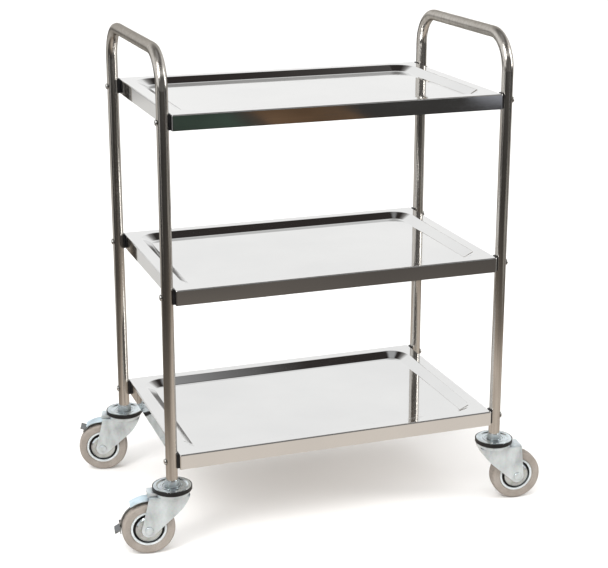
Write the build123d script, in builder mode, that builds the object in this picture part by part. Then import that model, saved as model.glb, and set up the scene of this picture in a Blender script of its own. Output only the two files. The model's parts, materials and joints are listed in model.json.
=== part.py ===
from build123d import *
from math import acos, atan2, cos, degrees, hypot, radians, sin, sqrt
import os

# Three-tier food service trolley, knocked down for shipping: two bent tube end frames, three
# pressed trays bolted between them through plastic saddles, and four swivel casters on threaded
# stems. Millimetres, +X along the length, +Y to the back, +Z up, origin on the floor under the
# middle of the frame.

# ---------------------------------------------------------------- driving dimensions

# End frames: one inverted U of round tube at each end
tube_diameter = 22.2
tube_wall = 1.2
leg_spacing_x = 672.0
leg_spacing_y = 402.0
tube_end_height = 144.5
handle_height = 947.0
handle_bend_radius = 66.0

# Trays
shelf_length = 645.0
shelf_width = 428.0
shelf_heights = {"top_shelf": 839.0, "middle_shelf": 517.0, "bottom_shelf": 195.0}
skirt_height = 29.0
sheet = 1.0
rim_width = 24.0
well_depth = 11.0
well_slope = 20.0
well_corner_radius = 42.0
shelf_corner_radius = 2.5
rim_edge_radius = 2.2
well_lip_radius = 3.0
well_floor_radius = 6.0
return_lip = 8.0

# Bolted joint between a tube and a tray
bolt_radius = 3.0
bolt_hole_radius = 3.25
bolt_length = 35.0
bolt_head_radius = 6.0
bolt_head_height = 3.4
bolt_drop = 14.0
nut_across_flats = 10.0
nut_height = 5.0
washer_radius = 6.0
washer_thickness = 1.6
saddle_width = 14.0
saddle_rise = 1.0
saddle_height = 29.0

# Tube insert that takes the caster's threaded stem
insert_flange = 2.0
insert_length = 30.0
stem_radius = 6.0
thread_gap = 0.05

# Casters, in a frame at the swivel axis: x trails to the wheel, z is up from the floor
wheel_radius = 50.8
caster_trail = 47.0
stem_hex_flats = 24.0
stem_hex_height = 9.0
stem_collar_radius = 14.5
stem_collar_height = 2.5
disc_radius = 36.4
disc_top = 131.0
disc_under = 129.0
ball_radius = 2.3
ball_count = 24
ball_circle = 27.0
race_height = 124.1
race_radius = 33.5
seal_inner_radius = 30.2
seal_radius = 37.8
seal_lip_height = 1.6
crown_top = 117.3
running_gap = 0.05
free_gap = 0.4

# Fork
fork_sheet = 2.5
fork_half_width = 19.5
fork_leg_end_radius = 13.5
fork_rear_top = 7.0
fork_rear_top_braked = -2.0
fork_front_top = -79.0
fork_bend_radius = 3.5

# Axle, sleeve and wheel
axle_radius = 4.0
axle_head_radius = 7.5
axle_head_height = 3.0
axle_nut_flats = 13.0
axle_nut_height = 6.5
sleeve_radius = 6.5
hub_half_width = 12.2
hub_boss_radius = 11.0
hub_web = 3.0
rim_inner_radius = 29.5
rim_outer_radius = 34.0
rim_half_width = 11.5
tyre_half_width = 14.0
guard_radius = 25.0
guard_sheet = 1.2

# Foot brake on the two left casters
lever_sheet = 2.0
lever_band_radius = 53.0
lever_band_half_width = 2.5
lever_band_reach = 56.0
lever_arm_half_width = 8.0
lever_travel = 47.0
lever_gap = 0.5
shoe_half_angle = 8.0
shoe_overhang = 8.0
lip_length = 11.5
lip_droop = 28.0
strip_sheet = 1.8
strip_radius = 58.5
strip_half_width = 13.5
strip_start_angle = 96.0
strip_end_angle = 55.0
strip_weld_front = -34.0
strip_weld_rear = -20.0
hood_height = 6.7
hood_half_width = 14.0
hood_length = 18.0

# Each corner's caster: where it points when parked, and its brake lever's angle above level
casters = {
    "front_left": {"side": (-1, -1), "yaw": 171.4, "lever_angle": 0.0},
    "back_left": {"side": (-1, 1), "yaw": 163.6, "lever_angle": lever_travel},
    "front_right": {"side": (1, -1), "yaw": -6.6, "lever_angle": None},
    "back_right": {"side": (1, 1), "yaw": 8.0, "lever_angle": None},
}

# ---------------------------------------------------------------- helpers

tube_radius = tube_diameter / 2
leg_x = leg_spacing_x / 2
leg_y = leg_spacing_y / 2
shelf_end = shelf_length / 2
shelf_front = shelf_width / 2
bolt_levels = [height - bolt_drop for height in shelf_heights.values()]
corners = [(x, y) for x in (-1, 1) for y in (-1, 1)]

os.makedirs("parts", exist_ok=True)


def save(builder, name):
    """Label one finished sub-part and write its STEP file."""
    builder.part.label = name
    export_step(builder.part, f"parts/{name}.step")


def cross_plane(x, y, z, side):
    """A plane across X at a bolt, looking outward at its end of the trolley."""
    return Plane(origin=(x, y, z), x_dir=(0, 1, 0), z_dir=(side, 0, 0))


def caster_base(spec):
    """The swivel axis on the floor, with x along the trail."""
    side_x, side_y = spec["side"]
    yaw = radians(spec["yaw"])
    return Plane(
        origin=(side_x * leg_x, side_y * leg_y, 0),
        x_dir=(cos(yaw), sin(yaw), 0),
        z_dir=(0, 0, 1),
    )


def side_plane(base, x=0.0, y=0.0, z=0.0):
    """A plane in the wheel's own plane: x trails, y is up, the normal points to local -y."""
    origin = base.from_local_coords(Vector(x, y, z))
    return Plane(origin=origin, x_dir=base.x_dir, z_dir=-base.y_dir)


def axle_section(base):
    """A plane through the axle: x runs along the axle to local +y, y is up from the axle."""
    origin = base.from_local_coords(Vector(caster_trail, 0, wheel_radius))
    return Plane(origin=origin, x_dir=base.y_dir, z_dir=base.x_dir)


def level_plane(base, height):
    """The caster's level plane at a height above the floor."""
    return Plane(origin=base.origin + Vector(0, 0, height), x_dir=base.x_dir, z_dir=base.z_dir)


def swivel_axis(base):
    return Axis(base.origin, base.z_dir)


def axle_axis(base):
    return Axis(base.from_local_coords(Vector(caster_trail, 0, wheel_radius)), base.y_dir)


def polar(radius, angle):
    """A point on a circle about the axle, with the angle above the trailing direction."""
    return (radius * cos(radians(angle)), radius * sin(radians(angle)))


def tangent_point(point, radius, turn):
    """Where the line from a point touches a circle about the origin, on one side of it."""
    reach = degrees(acos(radius / hypot(*point)))
    return polar(radius, degrees(atan2(point[1], point[0])) + turn * reach)


# ---------------------------------------------------------------- end frames

for name, side in (("left_end_frame", -1), ("right_end_frame", 1)):
    end_plane = Plane(origin=(side * leg_x, 0, 0), x_dir=(0, 1, 0), z_dir=(1, 0, 0))
    with BuildPart() as end_frame:
        with BuildLine(end_plane) as route:
            FilletPolyline(
                (-leg_y, tube_end_height),
                (-leg_y, handle_height),
                (leg_y, handle_height),
                (leg_y, tube_end_height),
                radius=handle_bend_radius,
            )
        foot = Plane(origin=(side * leg_x, -leg_y, tube_end_height), z_dir=(0, 0, 1))
        with BuildSketch(foot):
            Circle(tube_radius)
            Circle(tube_radius - tube_wall, mode=Mode.SUBTRACT)
        sweep(path=route.line)
        for leg in (-leg_y, leg_y):
            for level in bolt_levels:
                with BuildSketch(cross_plane(side * leg_x, leg, level, side)):
                    Circle(bolt_hole_radius)
                extrude(amount=tube_diameter, both=True, mode=Mode.SUBTRACT)
    save(end_frame, name)

# ---------------------------------------------------------------- trays


def tray_body(height, inset):
    """The tray's solid form, or with an inset of one sheet its inside: a block with a well."""
    corner = max(shelf_corner_radius - inset, 0.5)
    lip_corner = well_corner_radius + inset
    floor_corner = well_corner_radius - well_slope + inset
    well_length = shelf_length - 2 * rim_width
    well_width = shelf_width - 2 * rim_width
    with BuildPart() as body:
        with BuildSketch(Plane.XY.offset(height - skirt_height)):
            RectangleRounded(shelf_length - 2 * inset, shelf_width - 2 * inset, corner)
        extrude(amount=skirt_height - inset)
        top_edges = body.faces().sort_by(Axis.Z)[-1].edges()
        fillet(top_edges, rim_edge_radius - inset)
        with BuildSketch(Plane.XY.offset(height - inset)):
            RectangleRounded(well_length + 2 * inset, well_width + 2 * inset, lip_corner)
        with BuildSketch(Plane.XY.offset(height - inset - well_depth)):
            RectangleRounded(
                well_length - 2 * well_slope + 2 * inset,
                well_width - 2 * well_slope + 2 * inset,
                floor_corner,
            )
        loft(mode=Mode.SUBTRACT)
        lip_edges = body.faces().filter_by(Plane.XY).sort_by(Axis.Z)[-1].inner_wires().edges()
        fillet(lip_edges, well_lip_radius + inset)
        floor_face = body.faces().filter_by(Plane.XY).sort_by(Axis.Z)[-2]
        fillet(floor_face.edges(), well_floor_radius - inset)
    return body


for name, height in shelf_heights.items():
    inside = tray_body(height, sheet)
    shell = tray_body(height, 0.0)
    with BuildPart() as shelf:
        add(shell.part)
        add(inside.part, mode=Mode.SUBTRACT)
        # the skirt's lower edge is turned in all round, so nobody meets a raw edge
        with BuildSketch(Plane.XY.offset(height - skirt_height)):
            RectangleRounded(
                shelf_length - sheet, shelf_width - sheet, shelf_corner_radius - sheet / 2
            )
            Rectangle(
                shelf_length - 2 * return_lip, shelf_width - 2 * return_lip, mode=Mode.SUBTRACT
            )
        extrude(amount=sheet)
        for side_x, side_y in corners:
            bolt_plane = cross_plane(side_x * shelf_end, side_y * leg_y, height - bolt_drop, side_x)
            with BuildSketch(bolt_plane):
                Circle(bolt_hole_radius)
            extrude(amount=4 * sheet, both=True, mode=Mode.SUBTRACT)
    save(shelf, name)

# ---------------------------------------------------------------- saddles and fasteners

saddle_depth = leg_x - shelf_end - sqrt(tube_radius**2 - (saddle_width / 2) ** 2)
with BuildPart() as saddles:
    for height in shelf_heights.values():
        base_height = height + saddle_rise - saddle_height
        for side_x, side_y in corners:
            with BuildSketch(Plane.XY.offset(base_height)):
                with Locations((side_x * (shelf_end + saddle_depth / 2), side_y * leg_y)):
                    RectangleRounded(saddle_depth, saddle_width, 1.0)
                with Locations((side_x * leg_x, side_y * leg_y)):
                    Circle(tube_radius, mode=Mode.SUBTRACT)
            extrude(amount=saddle_height)
            bolt_plane = cross_plane(side_x * leg_x, side_y * leg_y, height - bolt_drop, side_x)
            with BuildSketch(bolt_plane):
                Circle(bolt_hole_radius)
            extrude(amount=-tube_diameter, mode=Mode.SUBTRACT)
save(saddles, "shelf_saddles")

head_seat = leg_x + tube_radius
with BuildPart() as bolts:
    for level in bolt_levels:
        for side_x, side_y in corners:
            seat = cross_plane(side_x * head_seat, side_y * leg_y, level, side_x)
            with BuildSketch(seat):
                Circle(bolt_radius)
            extrude(amount=-bolt_length)
            with BuildSketch(seat):
                Circle(bolt_head_radius)
            extrude(amount=bolt_head_height)
    crowns = bolts.edges().filter_by(GeomType.CIRCLE).filter_by(
        lambda edge: abs(edge.center().X) > head_seat + bolt_head_height / 2
    )
    fillet(crowns, bolt_head_height * 0.8)
    for level in bolt_levels:
        for side_x, side_y in corners:
            crown = cross_plane(
                side_x * (head_seat + bolt_head_height), side_y * leg_y, level, side_x
            )
            with BuildSketch(crown):
                Rectangle(4.0, 1.0, rotation=45)
                Rectangle(4.0, 1.0, rotation=-45)
            extrude(amount=-bolt_head_height / 2, mode=Mode.SUBTRACT)
save(bolts, "shelf_bolts")

washer_seat = shelf_end - sheet
with BuildPart() as washers:
    for level in bolt_levels:
        for side_x, side_y in corners:
            with BuildSketch(cross_plane(side_x * washer_seat, side_y * leg_y, level, side_x)):
                Circle(washer_radius)
                Circle(bolt_hole_radius, mode=Mode.SUBTRACT)
            extrude(amount=-washer_thickness)
save(washers, "shelf_washers")

nut_seat = washer_seat - washer_thickness
with BuildPart() as nuts:
    for level in bolt_levels:
        for side_x, side_y in corners:
            with BuildSketch(cross_plane(side_x * nut_seat, side_y * leg_y, level, side_x)):
                RegularPolygon(nut_across_flats / 2, 6, major_radius=False)
                Circle(bolt_radius + thread_gap, mode=Mode.SUBTRACT)
            extrude(amount=-nut_height)
save(nuts, "shelf_nuts")

with BuildPart() as inserts:
    for side_x, side_y in corners:
        foot = Plane(origin=(side_x * leg_x, side_y * leg_y, tube_end_height))
        with BuildSketch(foot):
            Circle(tube_radius - tube_wall)
        extrude(amount=insert_length)
        with BuildSketch(foot):
            Circle(tube_radius)
        extrude(amount=-insert_flange)
        with BuildSketch(foot.offset(-insert_flange)):
            Circle(stem_radius + thread_gap)
        extrude(amount=insert_length, mode=Mode.SUBTRACT)
save(inserts, "tube_inserts")

# ---------------------------------------------------------------- caster: the part fixed to the tube


def build_stem(base, name):
    """Threaded stem, hex and kingpin in one: it holds the disc and carries the fork."""
    hex_top = tube_end_height - insert_flange
    pin_end = crown_top - fork_sheet - 4.0
    rivet_radius = 10.0
    with BuildPart() as stem:
        with BuildSketch(level_plane(base, disc_top)):
            Circle(stem_collar_radius)
        extrude(amount=stem_collar_height)
        with BuildSketch(level_plane(base, hex_top)):
            RegularPolygon(stem_hex_flats / 2, 6, major_radius=False)
        extrude(amount=-(hex_top - disc_top - stem_collar_height))
        with BuildSketch(level_plane(base, pin_end)):
            Circle(stem_radius)
        extrude(amount=hex_top + insert_length - 10.0 - pin_end)
        with BuildSketch(level_plane(base, pin_end)):
            Circle(rivet_radius)
        extrude(amount=4.0 - free_gap)
        fillet(stem.edges().group_by(Axis.Z)[0], 2.5)
        chamfer(stem.edges().group_by(Axis.Z)[-1], 1.0)
    save(stem, name)


def build_disc(base, name):
    """Pressed upper race: a dished disc with a raised rim and two rings in its top."""
    outline = [
        (stem_radius + running_gap, disc_under),
        (stem_radius + running_gap, disc_top),
        (18.0, disc_top),
        (19.0, disc_top + 0.8),
        (21.5, disc_top + 0.8),
        (22.5, disc_top),
        (27.5, disc_top),
        (30.5, disc_top + 2.0),
        (disc_radius - 1.0, disc_top + 2.0),
        (disc_radius, disc_top + 1.2),
        (disc_radius, disc_top),
        (31.0, disc_top),
        (29.0, disc_under),
    ]
    with BuildPart() as disc:
        with BuildSketch(side_plane(base)):
            with BuildLine():
                Polyline(*outline, close=True)
            make_face()
        revolve(axis=swivel_axis(base))
    save(disc, name)


# ---------------------------------------------------------------- caster: the part that swivels


def build_seal(base, name):
    """Black ring on the fork's race: it covers the balls and its lip goes round the disc's edge."""
    lip_inner = disc_radius + free_gap
    lip_top = disc_top + seal_lip_height
    seal_top = disc_top - free_gap
    outline = [
        (seal_inner_radius, race_height),
        (seal_radius - 1.2, race_height),
        (seal_radius, race_height + 1.2),
        (seal_radius, lip_top - 0.5),
        (seal_radius - 0.5, lip_top),
        (lip_inner, lip_top),
        (lip_inner, seal_top),
        (seal_inner_radius + 2.0, seal_top),
        (seal_inner_radius, seal_top - 2.0),
    ]
    with BuildPart() as seal:
        with BuildSketch(side_plane(base)):
            with BuildLine():
                Polyline(*outline, close=True)
            make_face()
        revolve(axis=swivel_axis(base))
    save(seal, name)


def build_balls(base, name):
    with BuildPart(level_plane(base, race_height + ball_radius)) as balls:
        with PolarLocations(ball_circle, ball_count):
            Sphere(ball_radius)
    save(balls, name)


def fork_outline(rear_top):
    """Side outline of the fork about the axle, drawn in the fork's own plane."""
    crown = crown_top - wheel_radius
    front_top = (fork_front_top, crown)
    front_bulge = (-70.5, 49.0)
    front_knee = (-50.0, 26.0)
    rear_corner = (rear_top, crown)
    leg_front = tangent_point(front_knee, fork_leg_end_radius, 1)
    leg_rear = tangent_point(rear_corner, fork_leg_end_radius, -1)
    leg_foot = polar(fork_leg_end_radius, -80.0)
    Line(leg_rear, rear_corner)
    Line(rear_corner, front_top)
    ThreePointArc(front_top, front_bulge, front_knee)
    Line(front_knee, leg_front)
    ThreePointArc(leg_front, leg_foot, leg_rear)


def fork_cavity(base):
    """The space between the legs: open behind and below, closed by the front wall."""
    crown = crown_top - wheel_radius - fork_sheet
    front_top = (fork_front_top + fork_sheet, crown)
    front_bulge = (-70.5 + 0.8 * fork_sheet, 49.0 + 0.6 * fork_sheet)
    front_knee = (-50.0 + 0.8 * fork_sheet, 26.0 + 0.6 * fork_sheet)
    below = -fork_leg_end_radius - 5.0
    behind = 30.0
    with BuildPart() as cavity:
        with BuildSketch(side_plane(base, caster_trail, 0, wheel_radius)):
            with BuildLine():
                ThreePointArc(front_top, front_bulge, front_knee)
                Polyline(
                    front_knee,
                    (front_knee[0], below),
                    (behind, below),
                    (behind, crown),
                    front_top,
                )
            make_face()
        extrude(amount=fork_half_width - fork_sheet, both=True)
    return cavity


def build_fork(base, name, braked):
    """Pressed fork: crown with the lower race, two raked legs and a curved front wall."""
    rear_top = fork_rear_top_braked if braked else fork_rear_top
    crown = crown_top - wheel_radius
    race = [
        (stem_radius + running_gap, crown_top - fork_sheet),
        (stem_radius + running_gap, crown_top),
        (19.5, crown_top),
        (22.5, race_height),
        (31.5, race_height),
        (race_radius, race_height - 2.0),
        (race_radius, crown_top - 0.8),
        (race_radius - 2.3, crown_top - 0.8),
        (race_radius - 2.3, race_height - fork_sheet),
        (24.3, race_height - fork_sheet),
        (21.3, crown_top - fork_sheet),
    ]
    cavity = fork_cavity(base)
    side = side_plane(base, caster_trail, 0, wheel_radius)
    with BuildPart() as fork:
        with BuildSketch(side):
            with BuildLine():
                fork_outline(rear_top)
            make_face()
        extrude(amount=fork_half_width, both=True)
        crown_face = fork.faces().filter_by(Axis.Z).sort_by(Axis.Z)[-1]
        fillet(crown_face.edges().filter_by(lambda edge: edge.length > 60.0), fork_bend_radius)
        add(cavity.part, mode=Mode.SUBTRACT)
        with BuildSketch(side_plane(base)):
            with BuildLine():
                Polyline(*race, close=True)
            make_face()
        revolve(axis=swivel_axis(base))
        if braked:
            # a raised hood at the back of the crown, open behind, over the brake strip
            with BuildSketch(side):
                with Locations((rear_top - hood_length / 2 + 3.0, crown + hood_height / 2 - 1.0)):
                    Rectangle(hood_length, hood_height + 2.0)
            extrude(amount=hood_half_width, both=True)
            with BuildSketch(side):
                with Locations((rear_top - hood_length / 2 + 5.0, crown + hood_height / 2 - 3.0)):
                    Rectangle(hood_length, hood_height + 2.0)
            extrude(amount=hood_half_width - 2.0, both=True, mode=Mode.SUBTRACT)
        with BuildSketch(level_plane(base, crown_top - 2 * fork_sheet)):
            Circle(stem_radius + running_gap)
        extrude(amount=3 * fork_sheet, mode=Mode.SUBTRACT)
        with BuildSketch(side):
            Circle(axle_radius + thread_gap)
        extrude(amount=2 * fork_half_width, both=True, mode=Mode.SUBTRACT)
    save(fork, name)


# ---------------------------------------------------------------- caster: axle and wheel


def build_axle(base, prefix, braked):
    """Axle bolt with its low round head to the front of the trolley and its nut to the back."""
    side = side_plane(base, caster_trail, 0, wheel_radius)
    if side.z_dir.Y < 0:
        side = Plane(origin=side.origin, x_dir=side.x_dir, z_dir=-side.z_dir)
    lever_stack = lever_sheet + 2 * lever_gap if braked else 0.0
    nut_face = fork_half_width + lever_stack
    with BuildPart() as axle:
        with BuildSketch(side.offset(-fork_half_width)):
            Circle(axle_radius)
        extrude(amount=fork_half_width + nut_face + axle_nut_height + 2.0)
        with BuildSketch(side.offset(-fork_half_width)):
            Circle(axle_head_radius)
        extrude(amount=-axle_head_height)
        rims = axle.edges().filter_by(GeomType.CIRCLE).filter_by(
            lambda edge: edge.radius > axle_radius + 1
            and side.to_local_coords(edge.center()).Z < -fork_half_width - 1
        )
        fillet(rims, axle_head_height * 0.7)
    save(axle, f"{prefix}_axle_bolt")
    with BuildPart() as nut:
        with BuildSketch(side.offset(nut_face)):
            RegularPolygon(axle_nut_flats / 2, 6, major_radius=False)
            Circle(axle_radius + thread_gap, mode=Mode.SUBTRACT)
        extrude(amount=axle_nut_height)
    save(nut, f"{prefix}_axle_nut")


def build_sleeve(base, name):
    """Steel sleeve clamped between the legs: the wheel's bush runs on it."""
    with BuildPart() as sleeve:
        with BuildSketch(side_plane(base, caster_trail, 0, wheel_radius)):
            Circle(sleeve_radius)
            Circle(axle_radius + thread_gap, mode=Mode.SUBTRACT)
        extrude(amount=fork_half_width - fork_sheet, both=True)
    save(sleeve, name)


def build_guards(base, name):
    """Two dished thread guards pressed on the sleeve, one each side of the hub."""
    leg_face = fork_half_width - fork_sheet
    inner_face = hub_half_width + free_gap
    outline = [
        (inner_face, sleeve_radius),
        (leg_face - 0.1, sleeve_radius),
        (leg_face - 0.1, hub_boss_radius),
        (leg_face - 1.2, hub_boss_radius + 2.5),
        (leg_face - 2.2, guard_radius - 3.0),
        (inner_face, guard_radius),
        (inner_face - guard_sheet, guard_radius),
        (inner_face - guard_sheet, guard_radius - 1.2),
        (leg_face - 3.4, guard_radius - 4.0),
        (leg_face - 2.6, hub_boss_radius + 1.5),
        (inner_face, hub_boss_radius + 0.5),
    ]
    with BuildPart() as guards:
        for side in (-1, 1):
            with BuildSketch(axle_section(base)):
                with BuildLine():
                    Polyline(*[(side * along, out) for along, out in outline], close=True)
                make_face()
            revolve(axis=axle_axis(base))
    save(guards, name)


def build_hub(base, name):
    half_outline = [
        (hub_half_width, sleeve_radius + running_gap),
        (hub_half_width, hub_boss_radius - 1.0),
        (hub_half_width - 1.0, hub_boss_radius),
        (hub_web, hub_boss_radius + 1.0),
        (hub_web, rim_inner_radius - 1.0),
        (hub_web + 1.0, rim_inner_radius),
        (rim_half_width - 0.6, rim_inner_radius + 0.4),
        (rim_half_width, rim_inner_radius + 1.0),
        (rim_half_width, rim_inner_radius + 2.4),
        (rim_half_width - 0.8, rim_inner_radius + 3.2),
        (rim_half_width - 0.8, rim_outer_radius),
    ]
    mirrored = [(-along, out) for along, out in reversed(half_outline)]
    with BuildPart() as hub:
        with BuildSketch(axle_section(base)):
            with BuildLine():
                Polyline(*half_outline, *mirrored, close=True)
            make_face()
        revolve(axis=axle_axis(base))
    save(hub, name)


def build_tyre(base, name):
    """Non-marking rubber tyre with rounded shoulders and a slight crown."""
    seat = rim_half_width - 0.8
    shoulder = (tyre_half_width, wheel_radius - 6.0)
    tread_edge = (tyre_half_width - 5.0, wheel_radius - 0.5)
    shoulder_bulge = (tyre_half_width - 1.2, wheel_radius - 2.2)
    with BuildPart() as tyre:
        with BuildSketch(axle_section(base)):
            with BuildLine():
                Line((-seat, rim_outer_radius), (seat, rim_outer_radius))
                Line((seat, rim_outer_radius), (tyre_half_width - 0.6, rim_outer_radius + 2.0))
                Line((tyre_half_width - 0.6, rim_outer_radius + 2.0), shoulder)
                ThreePointArc(shoulder, shoulder_bulge, tread_edge)
                ThreePointArc(tread_edge, (0, wheel_radius), (-tread_edge[0], tread_edge[1]))
                ThreePointArc(
                    (-tread_edge[0], tread_edge[1]),
                    (-shoulder_bulge[0], shoulder_bulge[1]),
                    (-shoulder[0], shoulder[1]),
                )
                Line((-shoulder[0], shoulder[1]), (-tyre_half_width + 0.6, rim_outer_radius + 2.0))
                Line((-tyre_half_width + 0.6, rim_outer_radius + 2.0), (-seat, rim_outer_radius))
            make_face()
        revolve(axis=axle_axis(base))
    save(tyre, name)


# ---------------------------------------------------------------- caster: foot brake


def arc_strip(inner, outer, start, end):
    """A closed outline between two radii about the axle, from one angle to another."""
    middle = (start + end) / 2
    ThreePointArc(polar(inner, start), polar(inner, middle), polar(inner, end))
    Line(polar(inner, end), polar(outer, end))
    ThreePointArc(polar(outer, end), polar(outer, middle), polar(outer, start))
    Line(polar(outer, start), polar(inner, start))


def build_lever(base, name, angle):
    """Foot lever on the axle bolt, behind the far leg. Its shoe reaches over the tread."""
    side = side_plane(base, caster_trail, 0, wheel_radius)
    inner = lever_band_radius - lever_sheet / 2
    outer = lever_band_radius + lever_sheet / 2
    arm_face = fork_half_width + lever_gap
    arm_back = arm_face + lever_sheet
    lip_root = polar(lever_band_radius, angle)
    lip_slope = radians(angle - lip_droop)
    lip_tip = (
        lip_root[0] + lip_length * cos(lip_slope),
        lip_root[1] + lip_length * sin(lip_slope),
    )
    with BuildPart() as lever:
        with BuildSketch(side.offset(arm_face)):
            Circle(axle_head_radius + 3.0)
            with Locations(polar(outer / 2, angle)):
                Rectangle(outer, 2 * lever_arm_half_width, rotation=angle)
            Circle(axle_radius + running_gap, mode=Mode.SUBTRACT)
        extrude(amount=lever_sheet)
        # the shoe crosses the tread from the arm
        with BuildSketch(side.offset(arm_back)):
            with BuildLine():
                arc_strip(inner, outer, angle - shoe_half_angle, angle + shoe_half_angle)
            make_face()
        extrude(amount=-(arm_back + shoe_overhang))
        # the band follows the tread up from the shoe and slides beneath the strip
        with BuildSketch(side):
            with BuildLine():
                arc_strip(inner, outer, angle, angle + lever_band_reach)
            make_face()
        extrude(amount=lever_band_half_width, both=True)
        # the lip takes the foot
        with BuildSketch(side.offset(arm_back)):
            with BuildLine() as lip_line:
                Line(lip_root, lip_tip)
            trace(lip_line.line, line_width=lever_sheet)
        extrude(amount=-(arm_back + shoe_overhang))
    save(lever, name)


def build_strip(base, name):
    """Spring steel strip welded under the crown: the lever's band slides beneath it."""
    side = side_plane(base, caster_trail, 0, wheel_radius)
    weld_height = crown_top - wheel_radius - fork_sheet - strip_sheet / 2
    bend = (strip_weld_rear, weld_height)
    start = polar(strip_radius, strip_start_angle)
    middle = polar(strip_radius, (strip_start_angle + strip_end_angle) / 2)
    end = polar(strip_radius, strip_end_angle)
    with BuildPart() as strip:
        with BuildSketch(side):
            with BuildLine() as route:
                Line((strip_weld_front, weld_height), bend)
                Line(bend, start)
                ThreePointArc(start, middle, end)
            trace(route.line, line_width=strip_sheet)
        extrude(amount=strip_half_width, both=True)
    save(strip, name)


for corner, spec in casters.items():
    base = caster_base(spec)
    braked = spec["lever_angle"] is not None
    build_stem(base, f"{corner}_stem")
    build_disc(base, f"{corner}_top_disc")
    build_seal(base, f"{corner}_dust_seal")
    build_balls(base, f"{corner}_swivel_balls")
    build_fork(base, f"{corner}_fork", braked)
    build_axle(base, corner, braked)
    build_sleeve(base, f"{corner}_axle_sleeve")
    build_guards(base, f"{corner}_thread_guards")
    build_hub(base, f"{corner}_hub")
    build_tyre(base, f"{corner}_tyre")
    if braked:
        build_lever(base, f"{corner}_brake_lever", spec["lever_angle"])
        build_strip(base, f"{corner}_brake_strip")
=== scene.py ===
import json
from math import cos, pi, radians, sin

import bpy
from mathutils import Matrix, Vector


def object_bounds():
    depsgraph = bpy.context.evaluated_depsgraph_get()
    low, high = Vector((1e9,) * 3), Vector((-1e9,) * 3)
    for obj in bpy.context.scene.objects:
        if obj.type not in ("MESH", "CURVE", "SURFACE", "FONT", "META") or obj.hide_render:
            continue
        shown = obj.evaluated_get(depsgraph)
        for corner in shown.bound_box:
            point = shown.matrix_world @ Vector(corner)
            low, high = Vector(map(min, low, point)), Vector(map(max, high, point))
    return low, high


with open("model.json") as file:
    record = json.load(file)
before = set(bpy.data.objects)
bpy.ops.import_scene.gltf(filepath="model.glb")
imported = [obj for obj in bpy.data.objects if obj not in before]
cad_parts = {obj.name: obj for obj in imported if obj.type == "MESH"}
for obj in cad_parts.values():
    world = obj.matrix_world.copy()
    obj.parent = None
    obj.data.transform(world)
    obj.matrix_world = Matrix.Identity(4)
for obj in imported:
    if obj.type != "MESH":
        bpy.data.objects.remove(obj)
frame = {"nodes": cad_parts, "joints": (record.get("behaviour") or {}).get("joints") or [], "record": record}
cad_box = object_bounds()
record = frame["record"]
nodes = frame["nodes"]
joints = {joint["name"]: joint for joint in frame["joints"]}
slot_of = {part["node"]: part["material_slot"] for part in record["subparts"]}
corners = [name[: -len("_swivel")] for name in joints if name.endswith("_swivel")]


# ---------------------------------------------------------------- node helpers


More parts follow.
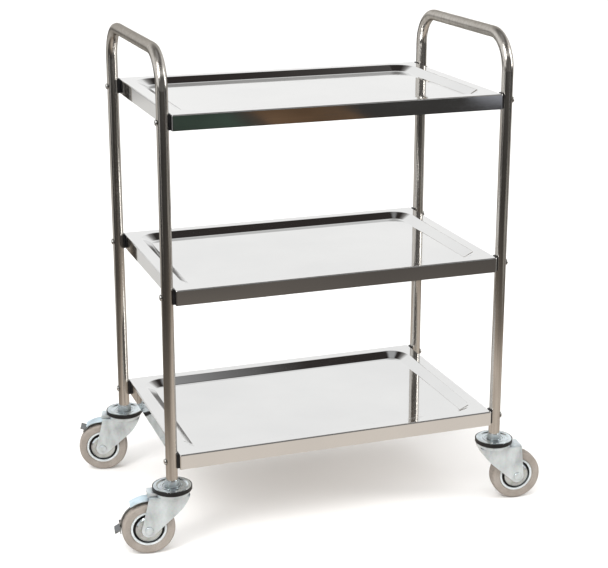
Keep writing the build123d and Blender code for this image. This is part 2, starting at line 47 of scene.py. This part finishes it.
class Shader:
    """A material with a Principled shader, and short ways to add the nodes it uses."""

    def __init__(self, name, metallic=0.0, ior=1.5, coat=0.0, coat_roughness=0.1):
        self.material = bpy.data.materials.new(name)
        self.material.use_nodes = True
        self.tree = self.material.node_tree
        self.bsdf = self.tree.nodes["Principled BSDF"]
        self.bsdf.inputs["Metallic"].default_value = metallic
        self.bsdf.inputs["IOR"].default_value = ior
        self.bsdf.inputs["Coat Weight"].default_value = coat
        self.bsdf.inputs["Coat Roughness"].default_value = coat_roughness
        self.bump_normal = None

    def add(self, kind, **values):
        node = self.tree.nodes.new(kind)
        for key, value in values.items():
            setattr(node, key, value)
        return node

    def link(self, source, target):
        self.tree.links.new(source, target)

    def place(self, scale=(1, 1, 1), centre=None, axis=None):
        """Object coordinates in metres, or coordinates about a centre with z along an axis."""
        coordinates = self.add("ShaderNodeTexCoord").outputs["Object"]
        if centre is not None:
            local = self.add("ShaderNodeMapping", vector_type="TEXTURE")
            local.inputs["Location"].default_value = centre
            turn = Vector((0, 0, 1)).rotation_difference(Vector(axis)).to_euler()
            local.inputs["Rotation"].default_value = turn
            self.link(coordinates, local.inputs["Vector"])
            coordinates = local.outputs["Vector"]
        stretch = self.add("ShaderNodeMapping", vector_type="POINT")
        stretch.inputs["Scale"].default_value = scale
        self.link(coordinates, stretch.inputs["Vector"])
        return stretch.outputs["Vector"]

    def length(self, vector):
        node = self.add("ShaderNodeVectorMath", operation="LENGTH")
        self.link(vector, node.inputs[0])
        return node.outputs["Value"]

    def radius(self, centre, axis):
        """Distance in metres from an axis."""
        return self.length(self.place(scale=(1, 1, 0), centre=centre, axis=axis))

    def noise(self, place, scale, detail=3.0, roughness=0.5):
        node = self.add("ShaderNodeTexNoise")
        node.inputs["Scale"].default_value = scale
        node.inputs["Detail"].default_value = detail
        node.inputs["Roughness"].default_value = roughness
        self.link(place, node.inputs["Vector"])
        return node.outputs["Fac"]

    def cells(self, place, scale):
        node = self.add("ShaderNodeTexVoronoi")
        node.inputs["Scale"].default_value = scale
        self.link(place, node.inputs["Vector"])
        return node.outputs["Color"]

    def remap(self, value, low, high, out_low, out_high):
        node = self.add("ShaderNodeMapRange")
        node.inputs["From Min"].default_value = low
        node.inputs["From Max"].default_value = high
        node.inputs["To Min"].default_value = out_low
        node.inputs["To Max"].default_value = out_high
        self.link(value, node.inputs["Value"])
        return node.outputs["Result"]

    def rings(self, radius, pitch):
        """Waves about an axis, a pitch in metres apart."""
        return self.math("SINE", self.math("MULTIPLY", radius, 2 * pi / pitch))

    def math(self, operation, first, second=None):
        node = self.add("ShaderNodeMath", operation=operation)
        for socket, value in zip(node.inputs, (first, second)):
            if value is None:
                continue
            if isinstance(value, (int, float)):
                socket.default_value = value
            else:
                self.link(value, socket)
        return node.outputs["Value"]

    def ramp(self, value, *stops):
        """A colour ramp: stops are (position, (r, g, b))."""
        node = self.add("ShaderNodeValToRGB")
        elements = node.color_ramp.elements
        while len(elements) < len(stops):
            elements.new(0.5)
        for element, (position, colour) in zip(elements, stops):
            element.position = position
            element.color = (*colour, 1.0)
        self.link(value, node.inputs["Fac"])
        return node.outputs["Color"]

    def blend(self, factor, first, second, kind="MIX"):
        node = self.add("ShaderNodeMix", data_type="RGBA", blend_type=kind)
        for name, value in (("Factor", factor), ("A", first), ("B", second)):
            socket = next(entry for entry in node.inputs if entry.name == name and entry.enabled)
            if isinstance(value, (int, float)):
                socket.default_value = value
            elif isinstance(value, tuple):
                socket.default_value = (*value, 1.0)
            else:
                self.link(value, socket)
        return next(entry for entry in node.outputs if entry.enabled)

    def bump(self, height, distance, strength=1.0):
        """Adds one layer of relief; distance is its height in metres."""
        node = self.add("ShaderNodeBump")
        node.inputs["Distance"].default_value = distance
        node.inputs["Strength"].default_value = strength
        self.link(height, node.inputs["Height"])
        if self.bump_normal is not None:
            self.link(self.bump_normal, node.inputs["Normal"])
        self.bump_normal = node.outputs["Normal"]
        self.link(self.bump_normal, self.bsdf.inputs["Normal"])

    def edges(self, radius):
        """0 on flat stretches and up to 1 along edges, for wear."""
        bevel = self.add("ShaderNodeBevel", samples=4)
        bevel.inputs["Radius"].default_value = radius
        geometry = self.add("ShaderNodeNewGeometry")
        dot = self.add("ShaderNodeVectorMath", operation="DOT_PRODUCT")
        self.link(bevel.outputs["Normal"], dot.inputs[0])
        self.link(geometry.outputs["Normal"], dot.inputs[1])
        return self.remap(dot.outputs["Value"], 0.98, 0.80, 0.0, 1.0)

    def crevice_shade(self, reach):
        """1 in the open and down to 0 in corners and gaps, for painted shade there."""
        node = self.add("ShaderNodeAmbientOcclusion", samples=8)
        node.inputs["Distance"].default_value = reach
        return node.outputs["AO"]

    def colour(self, source):
        self.link(source, self.bsdf.inputs["Base Color"])

    def roughness(self, source):
        self.link(source, self.bsdf.inputs["Roughness"])

    def glow(self, source):
        """Makes the surface give off this colour and reflect nothing."""
        emission = self.add("ShaderNodeEmission")
        self.link(source, emission.inputs["Color"])
        output = self.tree.nodes["Material Output"]
        self.link(emission.outputs["Emission"], output.inputs["Surface"])


# ---------------------------------------------------------------- materials


def tray_steel():
    """Mirror polished sheet: fine buffing lines, a faint haze of wiping marks, slight waviness."""
    s = Shader("tray_steel", metallic=1.0)
    place = s.place()
    along = s.place(scale=(6, 420, 420))
    cloud = s.noise(place, 5.0, detail=4.0)
    lines = s.noise(along, 1.0, detail=5.0, roughness=0.7)
    smudge = s.noise(s.place(scale=(1.0, 1.6, 1.0)), 11.0, detail=6.0, roughness=0.65)
    s.colour(s.ramp(cloud, (0.3, (0.745, 0.75, 0.755)), (0.7, (0.795, 0.80, 0.80))))
    haze = s.remap(smudge, 0.45, 0.75, 0.035, 0.085)
    fine = s.remap(lines, 0.35, 0.7, 0.0, 0.03)
    s.roughness(s.math("ADD", haze, fine))
    s.bump(s.noise(place, 7.0, detail=1.0), 0.0006, 0.35)
    s.bump(lines, 0.00001, 0.25)
    return s.material


def tube_steel(grip_start):
    """Drawn tube, polished lengthways: the draw lines and the handling marks run along it. Hands
    have dulled it above the grip's start."""
    s = Shader("tube_steel", metallic=1.0)
    place = s.place()
    streaks = s.noise(s.place(scale=(700, 700, 9)), 1.0, detail=4.0, roughness=0.7)
    cloud = s.noise(place, 9.0, detail=4.0)
    base = s.ramp(cloud, (0.3, (0.56, 0.535, 0.50)), (0.7, (0.65, 0.625, 0.59)))
    stains = s.noise(s.place(scale=(190, 190, 5)), 1.0, detail=5.0)
    stained = s.remap(stains, 0.42, 0.68, 0.0, 0.45)
    s.colour(s.blend(stained, base, (0.36, 0.33, 0.295)))
    s.bsdf.inputs["Specular Tint"].default_value = (0.45, 0.43, 0.40, 1.0)
    smears = s.noise(s.place(scale=(1, 1, 0.35)), 30.0, detail=5.0)
    smear = s.remap(smears, 0.4, 0.75, 0.12, 0.18)
    height = s.add("ShaderNodeSeparateXYZ")
    s.link(place, height.inputs["Vector"])
    grip_full = grip_start + 0.05
    grip = s.remap(height.outputs["Z"], grip_start, grip_full, 0.0, 0.20)
    polish = s.math("ADD", smear, s.remap(streaks, 0.3, 0.7, 0.0, 0.05))
    s.roughness(s.math("ADD", polish, grip))
    s.bump(s.noise(place, 16.0, detail=1.0), 0.0004, 0.3)
    s.bump(streaks, 0.00001, 0.4)
    return s.material


def zinc_plate(name, tint, centre=None, axis=None, metallic=0.7, sheen=(0.28, 0.42)):
    """Zinc plate: cloudy, fine-grained, with bright rubbed edges, and painted shade that darkens its corners
    and gaps.
    """
    s = Shader(name, metallic=metallic)
    place = s.place(centre=centre, axis=axis)
    cloud = s.noise(s.place(scale=(1, 1, 0.5), centre=centre, axis=axis), 46.0, detail=6.0)
    spangle = s.cells(place, 420.0)
    low = tuple(0.72 * value for value in tint)
    high = tuple(min(1.0, 1.25 * value) for value in tint)
    base = s.ramp(cloud, (0.28, low), (0.5, tint), (0.75, high))
    grained = s.blend(0.07, base, spangle, "OVERLAY")
    worn = s.blend(s.math("MULTIPLY", s.edges(0.0008), 0.5), grained, (0.90, 0.91, 0.91))
    # Painted shade: the colour is darkened in corners and gaps, where shadow would fall.
    shade = s.remap(s.crevice_shade(0.014), 0.20, 0.80, 0.10, 1.0)
    grey = s.ramp(shade, (0.0, (0.0, 0.0, 0.0)), (1.0, (1.0, 1.0, 1.0)))
    s.colour(s.blend(1.0, worn, grey, "MULTIPLY"))
    s.roughness(s.remap(s.noise(place, 90.0, detail=4.0), 0.3, 0.75, *sheen))
    s.bump(s.noise(place, 55.0, detail=2.0), 0.0002, 0.5)
    s.bump(s.noise(place, 1400.0, detail=2.0), 0.00002, 0.6)
    return s


def turned_zinc(name, tint, centre, axis):
    """Zinc with the rings that pressing and turning leave about its axis."""
    s = zinc_plate(name, tint, centre, axis, metallic=1.0, sheen=(0.14, 0.24))
    turning_pitch = 0.0016
    s.bump(s.rings(s.radius(centre, axis), turning_pitch), 0.00004, 0.5)
    return s.material


def fastener_steel():
    """Bolts, nuts and washers: bright and slightly mottled, with a fine grain."""
    s = Shader("fastener_steel", metallic=1.0)
    place = s.place()
    cloud = s.noise(place, 120.0, detail=4.0)
    s.colour(s.ramp(cloud, (0.3, (0.52, 0.52, 0.51)), (0.7, (0.70, 0.70, 0.69))))
    s.roughness(s.remap(s.noise(place, 260.0, detail=3.0), 0.3, 0.7, 0.18, 0.34))
    s.bump(s.noise(place, 900.0, detail=2.0), 0.00003, 0.5)
    return s.material


def polished_balls():
    """Hardened balls, nearly mirror bright."""
    s = Shader("ball_steel", metallic=1.0)
    place = s.place()
    s.colour(s.ramp(s.noise(place, 300.0), (0.3, (0.66, 0.66, 0.67)), (0.7, (0.78, 0.78, 0.79))))
    s.roughness(s.remap(s.noise(place, 500.0), 0.3, 0.7, 0.05, 0.15))
    return s.material


def black_plastic(name, shine):
    """Moulded black plastic with a fine spark-eroded grain and dusty edges."""
    s = Shader(name, ior=1.40)
    place = s.place()
    cloud = s.noise(place, 60.0, detail=4.0)
    base = s.ramp(cloud, (0.3, (0.004, 0.004, 0.0045)), (0.75, (0.011, 0.011, 0.012)))
    s.colour(s.blend(s.math("MULTIPLY", s.edges(0.0005), 0.3), base, (0.09, 0.09, 0.095)))
    s.roughness(s.remap(s.noise(place, 150.0), 0.3, 0.7, shine, shine + 0.15))
    s.bump(s.noise(place, 2600.0, detail=2.0), 0.00004, 0.5)
    return s.material


def hub_plastic(corner):
    """Moulded hub: a pale grey rim ring, with the web inside it painted near black as shade of its deep
    recess; a little dusty.
    """
    spin = joints[f"{corner}_wheel_spin"]
    s = Shader(f"{corner}_hub_plastic", ior=1.47, coat=0.15, coat_roughness=0.25)
    place = s.place(centre=spin["pos_m"], axis=spin["axis"])
    cloud = s.noise(place, 45.0, detail=5.0)
    pale = s.ramp(cloud, (0.3, (0.52, 0.56, 0.57)), (0.7, (0.66, 0.70, 0.71)))
    # Painted shade: the web inside the rim is coloured near black for the shade of its deep recess.
    black = s.ramp(cloud, (0.3, (0.008, 0.008, 0.009)), (0.7, (0.016, 0.016, 0.017)))
    web_edge = 0.0296
    rim_edge = 0.0300
    ring = s.remap(s.radius(spin["pos_m"], spin["axis"]), web_edge, rim_edge, 0.0, 1.0)
    base = s.blend(ring, black, pale)
    speck = s.remap(s.noise(place, 900.0, detail=1.0), 0.66, 0.72, 0.0, 0.35)
    s.colour(s.blend(s.math("MULTIPLY", speck, ring), base, (0.36, 0.35, 0.33)))
    s.roughness(s.remap(s.noise(place, 140.0), 0.3, 0.7, 0.34, 0.5))
    s.bump(s.noise(place, 1800.0, detail=2.0), 0.00003, 0.5)
    return s.material


def tyre_rubber(corner):
    """Warm grey non-marking rubber: matt, mottled, scuffed on the tread, with mould rings."""
    spin = joints[f"{corner}_wheel_spin"]
    s = Shader(f"{corner}_tyre_rubber", ior=1.5)
    place = s.place(centre=spin["pos_m"], axis=spin["axis"])
    radius = s.radius(spin["pos_m"], spin["axis"])
    cloud = s.noise(place, 30.0, detail=5.0, roughness=0.6)
    base = s.ramp(
        cloud,
        (0.28, (0.222, 0.192, 0.166)),
        (0.5, (0.268, 0.236, 0.206)),
        (0.75, (0.315, 0.282, 0.252)),
    )
    speck = s.remap(s.noise(place, 700.0, detail=2.0), 0.60, 0.70, 0.0, 0.5)
    specked = s.blend(speck, base, (0.14, 0.12, 0.105))
    shoulder = 0.0480
    crown = 0.0503
    tread = s.remap(radius, shoulder, crown, 0.0, 1.0)
    scuffs = s.remap(s.noise(place, 160.0, detail=4.0), 0.45, 0.65, 0.0, 0.7)
    s.colour(s.blend(s.math("MULTIPLY", tread, scuffs), specked, (0.16, 0.14, 0.125)))
    s.roughness(s.remap(s.noise(place, 220.0), 0.3, 0.7, 0.55, 0.78))
    mould_pitch = 0.0021
    s.bump(s.rings(radius, mould_pitch), 0.00005, 0.35)
    s.bump(s.noise(place, 1100.0, detail=3.0), 0.00008, 0.6)
    return s.material


zinc_tint = (0.62, 0.68, 0.71)
blue_tint = (0.58, 0.71, 0.79)
shared = {
    "tray_steel": tray_steel(),
    "tube_steel": tube_steel(grip_start=0.90),
    "zinc_plate": zinc_plate("zinc_plate", zinc_tint).material,
    "insert_zinc": zinc_plate(
        "insert_zinc", (0.74, 0.78, 0.80), metallic=1.0, sheen=(0.12, 0.20)
    ).material,
    # The lever's near-black tint is a painted reflection of the dark floor in front, which its tab faces.
    "lever_steel": zinc_plate(
        "lever_steel", (0.16, 0.17, 0.175), metallic=1.0, sheen=(0.16, 0.26)
    ).material,
    "blue_zinc": zinc_plate("blue_zinc", blue_tint).material,
    "fastener_steel": fastener_steel(),
    "ball_steel": polished_balls(),
    "black_plastic": black_plastic("black_plastic", 0.30),
    "seal_plastic": black_plastic("seal_plastic", 0.38),
}

turned = {"top_disc": "swivel", "thread_guards": "wheel_spin"}


def finish_of(name):
    """A node's material: its own where it follows an axis, otherwise its slot's."""
    slot = slot_of[name]
    corner = next((c for c in corners if name.startswith(c)), None)
    if slot == "tyre_rubber":
        return tyre_rubber(corner)
    if slot == "hub_plastic":
        return hub_plastic(corner)
    for piece, motion in turned.items():
        if name == f"{corner}_{piece}":
            joint = joints[f"{corner}_{motion}"]
            return turned_zinc(f"{name}_zinc", zinc_tint, joint["pos_m"], joint["axis"])
    return shared[slot]


for name, node in nodes.items():
    material = finish_of(name)
    for holder in node.material_slots:
        holder.material = material


# ---------------------------------------------------------------- studio


def flat_material(name, colour, roughness=0.8):
    """Matt paper, very slightly mottled."""
    s = Shader(name)
    cloud = s.noise(s.place(), 1.3, detail=3.0)
    darker = tuple(0.94 * value for value in colour)
    s.colour(s.ramp(cloud, (0.3, darker), (0.7, colour)))
    s.bsdf.inputs["Roughness"].default_value = roughness
    return s.material


def card(name, points, material, reflections_only=True):
    """A flat stage card. It shows in reflections alone, unless reflections_only is False."""
    mesh = bpy.data.meshes.new(name)
    mesh.from_pydata(points, [], [tuple(range(len(points)))])
    mesh.materials.append(material)
    thing = bpy.data.objects.new(name, mesh)
    bpy.context.scene.collection.objects.link(thing)
    if reflections_only:
        thing.visible_camera = False
        thing.visible_diffuse = False
        thing.visible_shadow = False
        thing.visible_transmission = False


def soft_light(name, place, target, size, power, colour):
    """A rectangular softbox, aimed at the target."""
    data = bpy.data.lights.new(name, "AREA")
    data.shape = "RECTANGLE"
    data.size = size[0]
    data.size_y = size[1]
    data.energy = power
    data.color = colour
    lamp = bpy.data.objects.new(name, data)
    lamp.location = place
    lamp.rotation_euler = (Vector(target) - Vector(place)).to_track_quat("-Z", "Y").to_euler()
    lamp.visible_camera = False
    bpy.context.scene.collection.objects.link(lamp)


floor_size = 30.0
floor_z = cad_box[0][2] - 0.0002
square = [(-1, -1), (1, -1), (1, 1), (-1, 1)]
card(
    "floor",
    [(floor_size * x, floor_size * y, floor_z) for x, y in square],
    flat_material("floor_paper", (0.93, 0.928, 0.925)),
    reflections_only=False,
)


def lit_floor():
    """What the polished steel sees of the studio floor: warm paper round the trolley that falls
    away to a dark hall in front, with a soft uneven edge, and runs on behind."""
    s = Shader("lit_floor")
    place = s.place(scale=(1, 1, 0))
    paper_middle = (0.28, 0.0, 0.0)
    shift = s.add("ShaderNodeVectorMath", operation="SUBTRACT")
    shift.inputs[1].default_value = paper_middle
    s.link(place, shift.inputs[0])
    ragged = s.remap(s.noise(place, 1.6, detail=2.0), 0.3, 0.7, -0.10, 0.10)
    reach = s.math("ADD", s.length(shift.outputs["Vector"]), ragged)
    reach_end = 3.0
    front = s.ramp(
        s.math("DIVIDE", reach, reach_end),
        (0.80 / reach_end, (0.76, 0.685, 0.61)),
        (0.98 / reach_end, (0.60, 0.525, 0.455)),
        (1.16 / reach_end, (0.34, 0.297, 0.255)),
        (1.36 / reach_end, (0.190, 0.165, 0.140)),
        (1.76 / reach_end, (0.125, 0.110, 0.097)),
        (2.20 / reach_end, (0.070, 0.063, 0.057)),
        (2.90 / reach_end, (0.045, 0.043, 0.041)),
    )
    split = s.add("ShaderNodeSeparateXYZ")
    s.link(place, split.inputs["Vector"])
    depth = s.math("ADD", split.outputs["Y"], ragged)
    depth_end = 6.0
    behind = s.ramp(
        s.math("DIVIDE", depth, depth_end),
        (0.55 / depth_end, (0.0, 0.0, 0.0)),
        (0.95 / depth_end, (1.0, 1.0, 1.0)),
        (4.40 / depth_end, (1.0, 1.0, 1.0)),
        (5.60 / depth_end, (0.0, 0.0, 0.0)),
    )
    s.glow(s.blend(behind, front, (0.74, 0.725, 0.70)))
    return s.material


def glow_material(name, colour, patch_scale=2.5):
    """A mottled patch of light or shade in what the steel reflects."""
    s = Shader(name)
    mottled = s.noise(s.place(), patch_scale, detail=2.0)
    dim = tuple(0.55 * value for value in colour)
    s.glow(s.ramp(mottled, (0.35, dim), (0.65, colour)))
    return s.material


def patch(name, middle, size, turn, colour):
    """One patch of light or shade, lying just above the reflected floor."""
    points = []
    for x, y in square:
        along, across = x * size[0] / 2, y * size[1] / 2
        points.append(
            (
                middle[0] + along * cos(turn) - across * sin(turn),
                middle[1] + along * sin(turn) + across * cos(turn),
                floor_z + 0.004,
            )
        )
    card(name, points, glow_material(f"{name}_light", colour))


card(
    "reflected_floor",
    [(floor_size * x, floor_size * y, floor_z + 0.002) for x, y in square],
    lit_floor(),
)
patch("left_window", (-4.7, -1.5), (1.7, 1.9), radians(10), (0.80, 0.80, 0.79))
patch("left_sheen", (-2.9, -1.15), (1.3, 0.55), radians(12), (0.36, 0.35, 0.34))
patch("front_bush", (0.88, -4.3), (0.36, 1.0), radians(4), (0.055, 0.080, 0.062))
patch("front_boards", (1.38, -4.3), (0.46, 1.0), radians(4), (0.175, 0.105, 0.060))
patch("front_window", (2.85, -4.1), (0.90, 1.4), radians(-8), (0.42, 0.43, 0.47))
patch("right_window", (3.2, 0.45), (2.6, 1.5), radians(-8), (0.95, 0.94, 0.92))
patch("right_sheen", (2.35, -1.80), (2.3, 1.7), radians(-14), (0.46, 0.44, 0.41))

hall_side = 9.0
hall_front = -5.6
hall_top = 4.6
card(
    "dark_hall",
    [
        (-hall_side, hall_front, floor_z),
        (hall_side, hall_front, floor_z),
        (hall_side, hall_front, hall_top),
        (-hall_side, hall_front, hall_top),
    ],
    glow_material("dark_hall_light", (0.21, 0.205, 0.20), patch_scale=0.7),
)

# The world's grey by height: bright walls, a dark band overhead and a paler zenith.

world = bpy.data.worlds.new("studio")
bpy.context.scene.world = world
world.use_nodes = True
tree = world.node_tree
background = tree.nodes["Background"]
direction = tree.nodes.new("ShaderNodeTexCoord")
split = tree.nodes.new("ShaderNodeSeparateXYZ")
ramp = tree.nodes.new("ShaderNodeValToRGB")
tree.links.new(direction.outputs["Generated"], split.inputs["Vector"])
tree.links.new(split.outputs["Z"], ramp.inputs["Fac"])
tree.links.new(ramp.outputs["Color"], background.inputs["Color"])
backdrop = [
    (0.00, (1.0, 0.995, 0.985)),
    (0.55, (1.0, 0.995, 0.985)),
    (0.74, (0.30, 0.29, 0.28)),
    (0.88, (0.035, 0.030, 0.028)),
    (0.935, (0.035, 0.030, 0.028)),
    (0.965, (0.42, 0.42, 0.42)),
]
stops = ramp.color_ramp.elements
while len(stops) < len(backdrop):
    stops.new(0.5)
for stop, (position, colour) in zip(stops, backdrop):
    stop.position = position
    stop.color = (*colour, 1.0)

middle = (cad_box[0] + cad_box[1]) / 2
soft_light("key_softbox", (-1.9, -1.5, 2.6), middle, (0.9, 1.6), 40, (1.0, 0.99, 0.97))
soft_light("right_softbox", (2.3, -1.2, 1.7), middle, (0.5, 1.6), 16, (1.0, 0.97, 0.94))

sky = bpy.data.lights.new("overhead", "SUN")
sky.energy = 2.9
sky.angle = radians(100)
overhead = bpy.data.objects.new("overhead", sky)
overhead.rotation_euler = (radians(12), radians(-14), 0)
overhead.visible_glossy = False
bpy.context.scene.collection.objects.link(overhead)


# ---------------------------------------------------------------- camera

azimuth = 0.347
pitch = 0.281
roll = 0.002
shift = (-0.0171, -0.0478)
camera_place = Vector((-0.9556, -2.6995, 1.3223))
sensor_width = 36.0
focal_length = 87.71

ahead = Vector((sin(azimuth) * cos(pitch), cos(azimuth) * cos(pitch), -sin(pitch)))
level_right = Vector((cos(azimuth), -sin(azimuth), 0))
level_up = level_right.cross(ahead)
right = level_right * cos(roll) + level_up * sin(roll)
up = level_up * cos(roll) - level_right * sin(roll)
camera_data = bpy.data.cameras.new("camera")
camera_data.sensor_width = sensor_width
camera_data.lens = focal_length
camera_data.shift_x = shift[0]
camera_data.shift_y = shift[1]
camera = bpy.data.objects.new("camera", camera_data)
turn = Matrix((right, up, -ahead)).transposed().to_4x4()
camera.matrix_world = Matrix.Translation(camera_place) @ turn
bpy.context.scene.collection.objects.link(camera)
bpy.context.scene.camera = camera
bpy.context.scene.view_settings.view_transform = "Standard"
